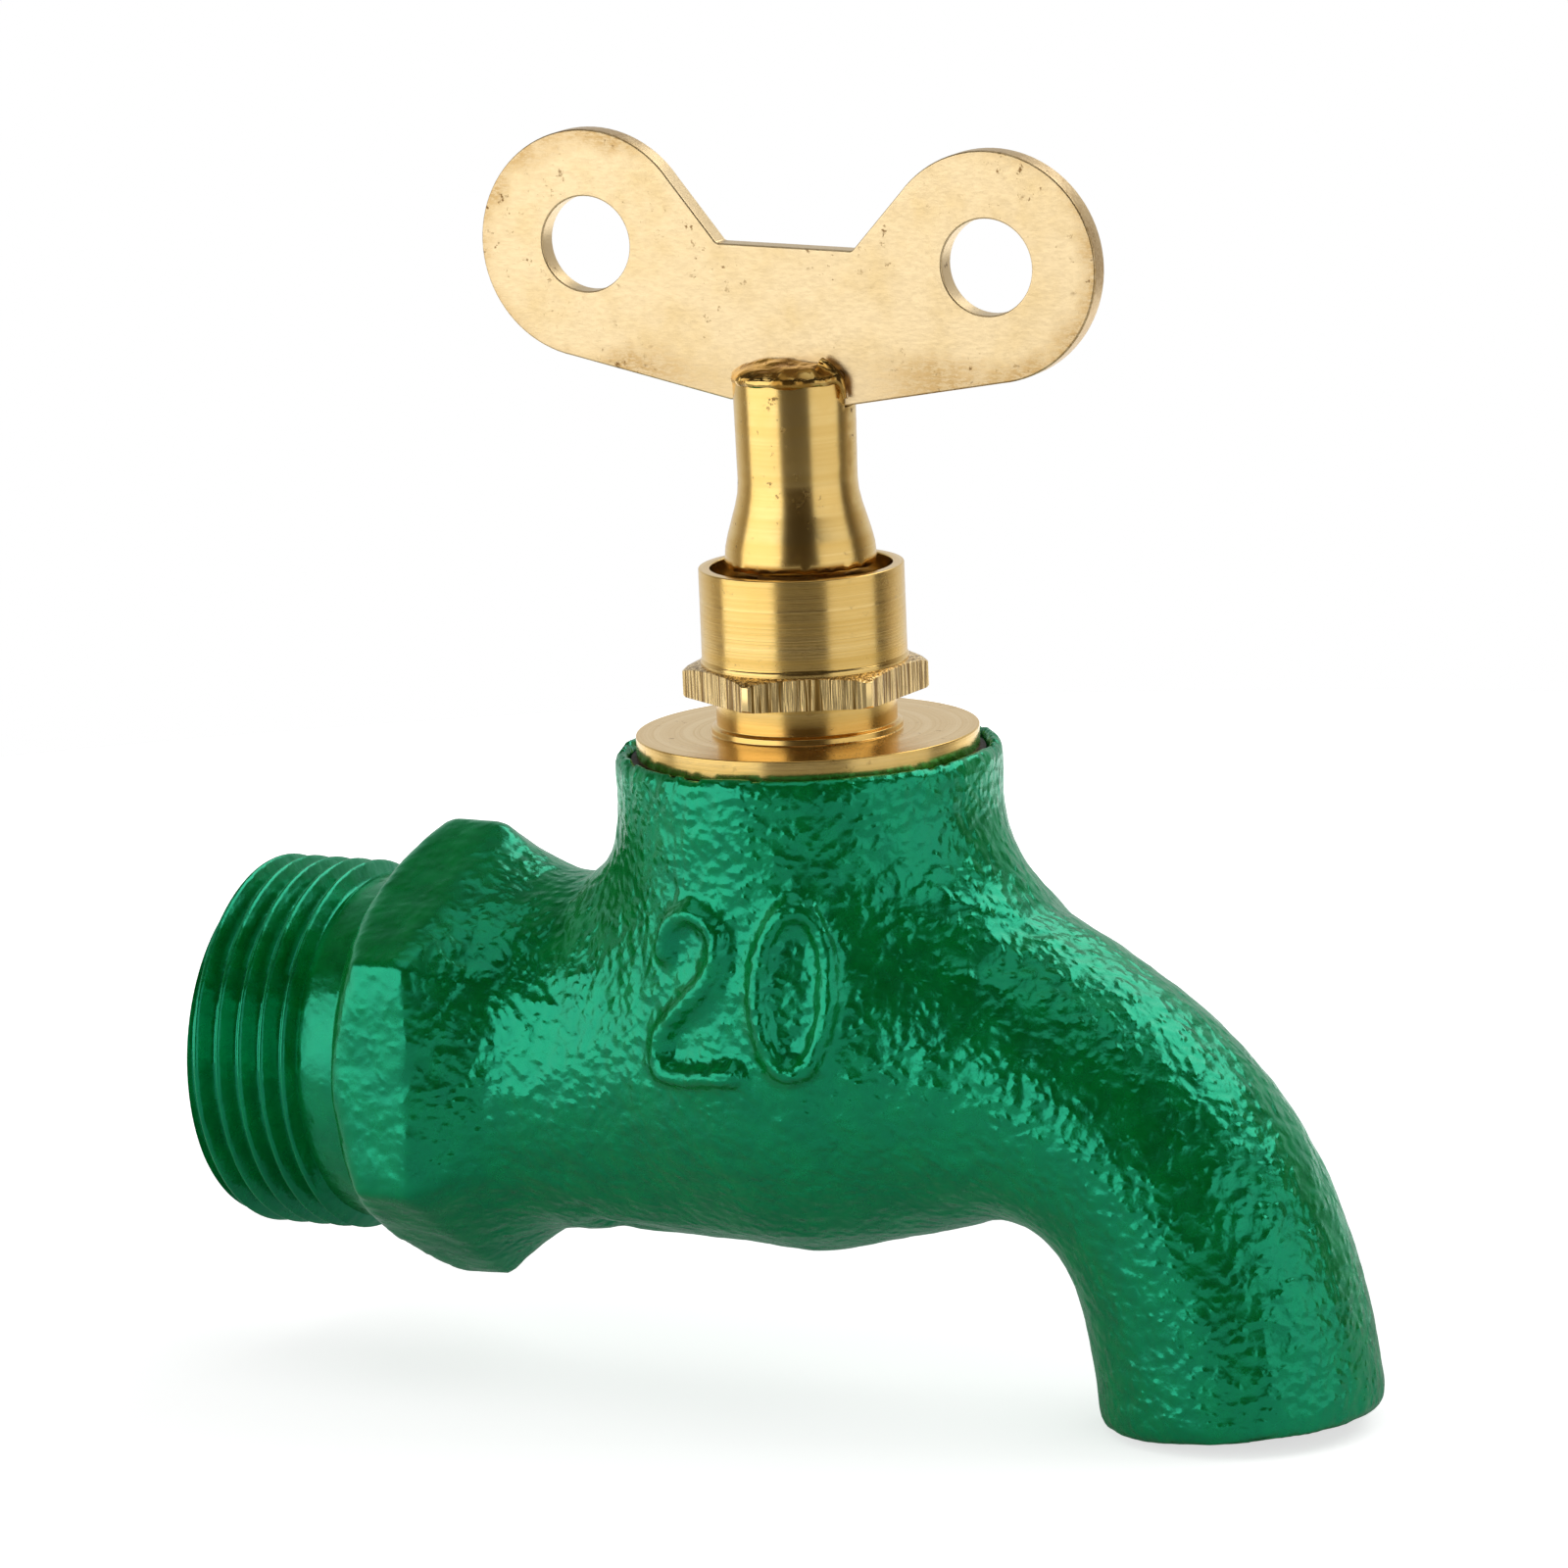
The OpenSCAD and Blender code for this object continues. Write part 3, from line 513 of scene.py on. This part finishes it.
def shrink_thread_wall(piece):
    """Draws the plain thread wall of the casting copy in, to lie under the cut thread."""
    edit(piece)
    bpy.ops.mesh.select_all(action="DESELECT")
    leave_edit()
    for vertex in piece.data.vertices:
        radius = math.hypot(vertex.co.y, vertex.co.z) / MM
        vertex.select = vertex.co.x / MM < THREAD_LEN + 0.05 and 12.9 < radius < 13.3
    bpy.ops.object.mode_set(mode="EDIT")
    middle = (THREAD_LEN / 2 * MM, 0, 0)
    bpy.ops.transform.resize(value=(1, 0.86, 0.86), center_override=middle)
    leave_edit()


def raise_rim(piece):
    """Lifts the rim of the boss by what the smoothing takes off it."""
    edit(piece)
    bpy.ops.mesh.select_all(action="DESELECT")
    leave_edit()
    for vertex in piece.data.vertices:
        radius = math.hypot(vertex.co.x - AXIS_X, vertex.co.y) / MM
        vertex.select = vertex.co.z / MM > BOSS_TOP - 0.05 and 12.5 < radius < 14
    bpy.ops.object.mode_set(mode="EDIT")
    bpy.ops.transform.translate(value=(0, 0, 0.12 * MM))
    leave_edit()


def keep_crisp(piece):
    """Gives the skin a group that takes less smoothing at the collar and at the rim of the boss."""
    group = piece.vertex_groups.new(name="soft")
    for vertex in piece.data.vertices:
        along = (vertex.co.x / MM - CRISP_COLLAR_END) / 3
        below = (CRISP_RIM - vertex.co.z / MM) / 1.5
        share = min(max(min(along, below), 0.12), 1)
        group.add([vertex.index], share, "REPLACE")


def digit(line, closed, ground):
    """A rounded stroke that lies half in the casting's front, along a line of (x, z) in mm."""
    curve = bpy.data.curves.new("digit", "CURVE")
    curve.dimensions = "3D"
    curve.bevel_depth = DIGIT_STROKE * MM
    curve.bevel_resolution = 4
    curve.use_fill_caps = True
    spline = curve.splines.new("NURBS")
    spline.points.add(len(line) - 1)
    spline.use_endpoint_u = not closed
    spline.use_cyclic_u = closed
    spline.order_u = 3
    spline.resolution_u = 6
    for point, (x, z) in zip(spline.points, line):
        hit, where, normal, _ = ground.ray_cast(Vector((x * MM, -0.05, z * MM)), Vector((0, 1, 0)))
        lifted = where - normal * DIGIT_SINK * MM if hit else Vector((x * MM, -0.0125, z * MM))
        point.co = (*lifted, 1)
    stroke = bpy.data.objects.new("digit", curve)
    bpy.context.scene.collection.objects.link(stroke)
    make_only(stroke)
    bpy.ops.object.convert(target="MESH")
    return settle(stroke, "digit")


def unevenness(piece, name, size, strength):
    """Moves a surface in and out by a soft cloud pattern."""
    clouds = bpy.data.textures.new(name, "CLOUDS")
    clouds.noise_scale = size * MM
    clouds.noise_depth = 1
    apply_modifier(piece, "DISPLACE", texture=clouds, texture_coords="LOCAL", direction="NORMAL",
                   strength=strength * MM, mid_level=0.5)


def cast_body():
    """The green casting from collar to outlet."""
    body = cad_copy("tap_body", "casting")
    shrink_thread_wall(body)
    raise_rim(body)
    apply_modifier(body, "REMESH", mode="VOXEL", voxel_size=0.4 * MM)
    keep_crisp(body)
    apply_modifier(body, "SMOOTH", factor=0.5, iterations=18, vertex_group="soft")
    zero_line = [(ZERO_MIDDLE[0] + ZERO_HALF[0] * math.sin(a) + ZERO_LEAN * math.cos(a),
                  ZERO_MIDDLE[1] + ZERO_HALF[1] * math.cos(a))
                 for a in [math.tau * k / 20 for k in range(20)]]
    strokes = [digit(TWO_LINE, False, body), digit(zero_line, True, body)]
    body = join([body] + strokes, "casting")
    apply_modifier(body, "REMESH", mode="VOXEL", voxel_size=0.45 * MM)
    apply_modifier(body, "SMOOTH", factor=0.5, iterations=3)
    unevenness(body, "casting_lumps", 3.6, 0.22)
    unevenness(body, "casting_peel", 1.25, 0.09)
    make_only(body)
    bpy.ops.object.shade_smooth()
    finish_piece(body, "tap", enamel, "green_enamel", "tap_body")


# Inlet thread: a helix from one rounded pitch, trimmed to an envelope with chamfered ends

PITCH = 1.814
CREST_R = 13.45
ROOT_R = 12.1
THREAD_END = 9.6
BAND_R = 12.5
INLET_BORE_R = 9.56


def inlet_thread():
    """The painted thread, with the plain band behind it."""
    depth = CREST_R - ROOT_R
    shares = [(0, 0), (0.08, 0.03), (0.2, 0.28), (0.38, 0.82), (0.45, 0.97), (0.5, 1), (0.55, 0.97),
              (0.62, 0.82), (0.8, 0.28), (0.92, 0.03), (1, 0)]
    helix = traced([(PITCH * (u - 2), 0, ROOT_R + depth * h) for u, h in shares])
    apply_modifier(helix, "SCREW", axis="X", angle=math.tau, screw_offset=PITCH * MM, iterations=10,
                   steps=96, render_steps=96, use_merge_vertices=True, merge_threshold=0.001 * MM)
    for level, inner in ((-1.2, True), (THREAD_END + 0.6, False)):
        edit(helix)
        bpy.ops.mesh.bisect(plane_co=(level * MM, 0, 0), plane_no=(1, 0, 0), use_fill=True,
                            clear_inner=inner, clear_outer=not inner)
        leave_edit()
    face_out(helix)
    settle(helix, "inlet_thread")
    envelope = traced([(x, 0, r) for x, r in [
        (0.0, INLET_BORE_R + 0.5), (0.0, ROOT_R - 0.1), (0.15, ROOT_R + 0.6), (0.6, CREST_R + 0.1),
        (THREAD_END - 0.8, CREST_R + 0.1), (THREAD_END, BAND_R), (THREAD_END, INLET_BORE_R),
        (0.5, INLET_BORE_R), (0.0, INLET_BORE_R + 0.5)]])
    edit(envelope)
    bpy.ops.mesh.spin(steps=120, angle=math.tau, center=(0, 0, 0), axis=(1, 0, 0))
    leave_edit()
    face_out(envelope)
    apply_modifier(helix, "BOOLEAN", operation="INTERSECT", object=envelope, solver="EXACT")
    bpy.data.objects.remove(envelope)
    band = traced([(x, 0, r) for x, r in [
        (THREAD_END - 0.6, BAND_R - 0.25), (THREAD_END + 0.1, BAND_R), (THREAD_LEN - 0.9, BAND_R),
        (THREAD_LEN - 0.35, BAND_R + 0.12), (THREAD_LEN - 0.05, BAND_R + 0.55), (THREAD_LEN + 0.3, BAND_R + 0.7),
        (THREAD_LEN + 0.3, INLET_BORE_R), (THREAD_END - 0.6, INLET_BORE_R), (THREAD_END - 0.6, BAND_R - 0.25)]])
    edit(band)
    bpy.ops.mesh.spin(steps=120, angle=math.tau, center=(0, 0, 0), axis=(1, 0, 0))
    leave_edit()
    face_out(band)
    thread = join([helix, band], "inlet_thread")
    shade(thread, 50)
    finish_piece(thread, "tap", thread_enamel, "green_enamel")


# Brass head

BONNET = {"flange_base": 23.8, "flange_top": 25.46, "hex_base": 28.1, "hex_top": 30.4, "shield_top": 37.2,
          "flange_r": 12.12, "neck_r": 6.37, "lip_r": 6.75, "hex_r": 8.65, "hex_flat": 15.2,
          "shield_r": 7.24, "shield_inner_r": 6.44, "plug_r": 10.4, "plug_base": 13.2,
          "shield_floor": 33.05, "stuffing_r": 4.9, "stuffing_floor": 28.2, "spindle_hole_r": 3.42,
          "nut_r": 5.1, "nut_top": 27.175, "jumper_room_r": 8.4, "jumper_room_top": 17.975}

HEX_TURN = 28


def bonnet():
    """Flange, neck, hexagon and shield of the brass bonnet."""
    b = BONNET
    barrel = turned([
        (b["jumper_room_r"], b["plug_base"]), (b["plug_r"], b["plug_base"]), (b["plug_r"], b["flange_base"]),
        (b["flange_r"], b["flange_base"]), (b["flange_r"], b["flange_top"]),
        (b["lip_r"], b["flange_top"]), (b["lip_r"], b["flange_top"] + 0.45),
        (b["neck_r"], b["flange_top"] + 0.55), (b["neck_r"], b["hex_base"] + 0.4),
        (b["shield_r"] + 0.1, b["hex_base"] + 0.5), (b["shield_r"] + 0.1, b["hex_top"] + 0.25),
        (b["shield_r"], b["hex_top"] + 0.4), (b["shield_r"], b["shield_top"]),
        (b["shield_inner_r"], b["shield_top"]), (b["shield_inner_r"], b["shield_floor"]),
        (b["stuffing_r"], b["shield_floor"]), (b["stuffing_r"], b["stuffing_floor"]),
        (b["spindle_hole_r"], b["stuffing_floor"]), (b["spindle_hole_r"], b["nut_top"]), (b["nut_r"], b["nut_top"]),
        (b["nut_r"], b["jumper_room_top"]), (b["jumper_room_r"], b["jumper_room_top"])], "bonnet_barrel")
    soften(barrel, 0.16, 3)
    bpy.ops.mesh.primitive_cylinder_add(
        vertices=6, radius=b["hex_flat"] / 2 / math.cos(math.pi / 6) * MM,
        depth=(b["hex_top"] - b["hex_base"]) * MM,
        location=(AXIS_X, 0, (b["hex_top"] + b["hex_base"]) / 2 * MM))
    hexagon = settle(bpy.context.active_object, "bonnet_hexagon")
    edit(hexagon)
    bpy.ops.transform.rotate(value=math.radians(30 - HEX_TURN), orient_axis="Z", center_override=(AXIS_X, 0, 0))
    leave_edit()
    chamfer = turned([
        (b["neck_r"] - 0.6, b["hex_base"]), (b["hex_r"] - 0.15, b["hex_base"]), (b["hex_r"], b["hex_base"] + 0.12),
        (b["hex_r"], b["hex_top"] - 0.5), (b["hex_r"] - 0.35, b["hex_top"] - 0.28), (b["shield_r"], b["hex_top"]),
        (b["neck_r"] - 0.6, b["hex_top"])], "bonnet_chamfer")
    apply_modifier(hexagon, "BOOLEAN", operation="INTERSECT", object=chamfer, solver="EXACT")
    bpy.data.objects.remove(chamfer)
    soften(hexagon, 0.07, 2, 20)
    finish_piece(barrel, "tap", head_brass, "turned_brass", "bonnet")
    finish_piece(hexagon, "tap", hexagon_brass_painted_reflections, "turned_brass")


LIP_R = 3.95 * MM
LIP_THICK = 0.48 * MM
LIP_Z = 50.62 * MM
BEAD_R = 0.34
BEAD_LINE = [(48.0, -1.3, 52.0), (48.6, -1.25, 51.7), (49.2, -1.2, 51.0), (49.6, -1.15, 50.1), (49.8, -1.1, 49.1)]


def bead(points):
    """A run of braze: a thin rounded stroke through points in mm."""
    curve = bpy.data.curves.new("bead", "CURVE")
    curve.dimensions = "3D"
    curve.bevel_depth = BEAD_R * MM
    curve.bevel_resolution = 3
    curve.use_fill_caps = True
    spline = curve.splines.new("NURBS")
    spline.points.add(len(points) - 1)
    spline.use_endpoint_u = True
    spline.order_u = 3
    for point, place_mm in zip(spline.points, points):
        point.co = (*(Vector(place_mm) * MM), 1)
    run = bpy.data.objects.new("bead", curve)
    bpy.context.scene.collection.objects.link(run)
    make_only(run)
    bpy.ops.object.convert(target="MESH")
    return settle(run, "bead")


def key():
    """Tube, wing and braze of the loose key."""
    tube = cad_copy("key_tube", "key_tube_soft")
    soften(tube, 0.12, 2, 35)
    finish_piece(tube, "spindle_and_key", key_brass, "turned_brass", "key_tube")
    wing = cad_copy("key_wing", "key_wing_soft")
    edit(wing)
    bpy.ops.mesh.dissolve_limited(angle_limit=math.radians(0.5))
    leave_edit()
    soften(wing, 0.14, 3, 35)
    finish_piece(wing, "spindle_and_key", wing_brass, "rolled_brass", "key_wing")
    bpy.ops.mesh.primitive_torus_add(major_radius=LIP_R, minor_radius=LIP_THICK, major_segments=96,
                                     minor_segments=16, location=(AXIS_X, 0, LIP_Z))
    lip = settle(bpy.context.active_object, "braze_lip")
    braze = join([cad_copy("key_braze", "key_braze_molten"), lip, bead(BEAD_LINE)], "key_braze_molten")
    apply_modifier(braze, "REMESH", mode="VOXEL", voxel_size=0.1 * MM)
    apply_modifier(braze, "SMOOTH", factor=0.5, iterations=14)
    unevenness(braze, "braze_lumps", 2.0, 0.5)
    make_only(braze)
    bpy.ops.object.shade_smooth()
    finish_piece(braze, "spindle_and_key", braze_brass, "braze", "key_braze")


def dress_inside():
    """Gives every CAD node that still shows its material."""
    finishes = {"bonnet_gasket": black_rubber, "valve_washer": black_rubber, "packing_ring_lower": graphite,
                "packing_ring_upper": graphite, "jumper_snap_ring": spring_steel}
    for name, shown in frame["nodes"].items():
        if not shown.hide_render:
            shown.data.materials.clear()
            shown.data.materials.append(finishes.get(name, inner_brass))


# Studio

FLOOR_R = 0.26
CAMERA_AIM = Vector((0.04314, 0.0, 0.02131))
CAMERA_TURN = math.radians(27.869)
CAMERA_RISE = math.radians(11.336)
BEHIND = (-math.sin(CAMERA_TURN), math.cos(CAMERA_TURN), 0.0)
CAMERA_ROLL = math.radians(-2.318)
CAMERA_AWAY = 0.6
CAMERA_FOCAL_PX = 8670.0
IMAGE_PX = 1600.0


def camera():
    """The photograph's view."""
    back = Vector((math.sin(CAMERA_TURN) * math.cos(CAMERA_RISE),
                   -math.cos(CAMERA_TURN) * math.cos(CAMERA_RISE), math.sin(CAMERA_RISE)))
    level = Vector((math.cos(CAMERA_TURN), math.sin(CAMERA_TURN), 0))
    rise = back.cross(level)
    right = math.cos(CAMERA_ROLL) * level + math.sin(CAMERA_ROLL) * rise
    up = back.cross(right)
    lens = bpy.data.cameras.new("view")
    lens.sensor_width = 36
    lens.lens = CAMERA_FOCAL_PX / IMAGE_PX * lens.sensor_width
    eye = bpy.data.objects.new("view", lens)
    bpy.context.scene.collection.objects.link(eye)
    turn = Matrix((right, up, back)).transposed().to_4x4()
    eye.matrix_world = Matrix.Translation(CAMERA_AIM + CAMERA_AWAY * back) @ turn
    bpy.context.scene.camera = eye


def lamp(name, turn, rise, away, width, height, power):
    """A soft panel lamp aimed at the tap, placed by its angles round it."""
    turn = math.radians(turn)
    rise = math.radians(rise)
    back = Vector((math.sin(turn) * math.cos(rise), -math.cos(turn) * math.cos(rise), math.sin(rise)))
    panel = bpy.data.lights.new(name, "AREA")
    panel.shape = "RECTANGLE"
    panel.size = width
    panel.size_y = height
    panel.energy = power
    made = bpy.data.objects.new(name, panel)
    bpy.context.scene.collection.objects.link(made)
    made.location = CAMERA_AIM + away * back
    made.rotation_euler = back.to_track_quat("Z", "Y").to_euler()


def studio():
    """Pale floor, white surroundings and three soft panels."""
    lowest = min(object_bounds()[0][2], cad_box[0][2])
    bpy.ops.mesh.primitive_circle_add(vertices=96, radius=FLOOR_R, fill_type="NGON",
                                      location=(AXIS_X, 0, lowest))
    floor = bpy.context.active_object
    floor.name = "floor"
    paint, tree, shader, where = new_material("floor_white", Base_Color=(0.7, 0.7, 0.7, 1.0))
    shader.inputs["Roughness"].default_value = 0.9
    shader.inputs["Specular IOR Level"].default_value = 0.0
    shader.inputs["Emission Color"].default_value = (1, 1, 1, 1)
    away = place(tree, "ShaderNodeVectorMath", {"operation": "LENGTH"}, {0: where}).outputs["Value"]
    rays = place(tree, "ShaderNodeLightPath")
    direct = maths(tree, "MAXIMUM", rays.outputs["Is Camera Ray"], rays.outputs["Is Transmission Ray"])
    seen = maths(tree, "MULTIPLY", direct, between(tree, away, 0.06, FLOOR_R - 0.03, 0.66, 1.0))
    depth = place(tree, "ShaderNodeVectorMath", {"operation": "DOT_PRODUCT"}, {0: where, 1: BEHIND}).outputs["Value"]
    mirrored = maths(tree, "MULTIPLY", rays.outputs["Is Glossy Ray"], between(tree, depth, 0.02, 0.15))
    tree.links.new(maths(tree, "ADD", seen, mirrored), shader.inputs["Emission Strength"])
    floor.data.materials.append(paint)
    floor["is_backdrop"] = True
    lamp("left_panel", -38, 4, 0.75, 1.05, 0.73, 3.8)
    lamp("right_panel", 85, 0, 0.75, 0.87, 0.7, 1.7)
    lamp("shoulder_panel", 145, 46, 0.75, 0.87, 0.35, 2.1)
    lamp("top_panel", 10, 80, 0.7, 0.6, 0.5, 0.6)
    world = bpy.data.worlds.new("studio")
    world.use_nodes = True
    bpy.context.scene.world = world
    net = world.node_tree
    rays = place(net, "ShaderNodeLightPath")
    direct = maths(net, "MAXIMUM", rays.outputs["Is Camera Ray"], rays.outputs["Is Transmission Ray"])
    towards = place(net, "ShaderNodeTexCoord").outputs["Generated"]
    facing = place(net, "ShaderNodeVectorMath", {"operation": "DOT_PRODUCT"},
                   {0: towards, 1: BEHIND}).outputs["Value"]
    height = place(net, "ShaderNodeSeparateXYZ", None, {"Vector": towards}).outputs["Z"]
    mirrored = maths(net, "MULTIPLY", between(net, facing, 0.0, 0.95, 0.05, 0.78),
                     between(net, height, 0.15, 0.75, 1.0, 0.35))
    warm = maths(net, "MULTIPLY", rays.outputs["Is Glossy Ray"], between(net, facing, 0.0, 0.8, 1.0, 0.0))
    around = place(net, "ShaderNodeMix", {"data_type": "FLOAT"},
                   {"Factor": rays.outputs["Is Glossy Ray"], "A": 0.32, "B": mirrored}).outputs["Result"]
    strength = place(net, "ShaderNodeMix", {"data_type": "FLOAT"},
                     {"Factor": direct, "A": around, "B": 1.0}).outputs["Result"]
    background = net.nodes["Background"]
    net.links.new(blended(net, warm, (1.0, 1.0, 1.0, 1.0), (1.0, 0.72, 0.36, 1.0)), background.inputs["Color"])
    net.links.new(strength, background.inputs["Strength"])
    bpy.context.scene.view_settings.view_transform = "Standard"


cast_body()
inlet_thread()
bonnet()
key()
dress_inside()
camera()
studio()
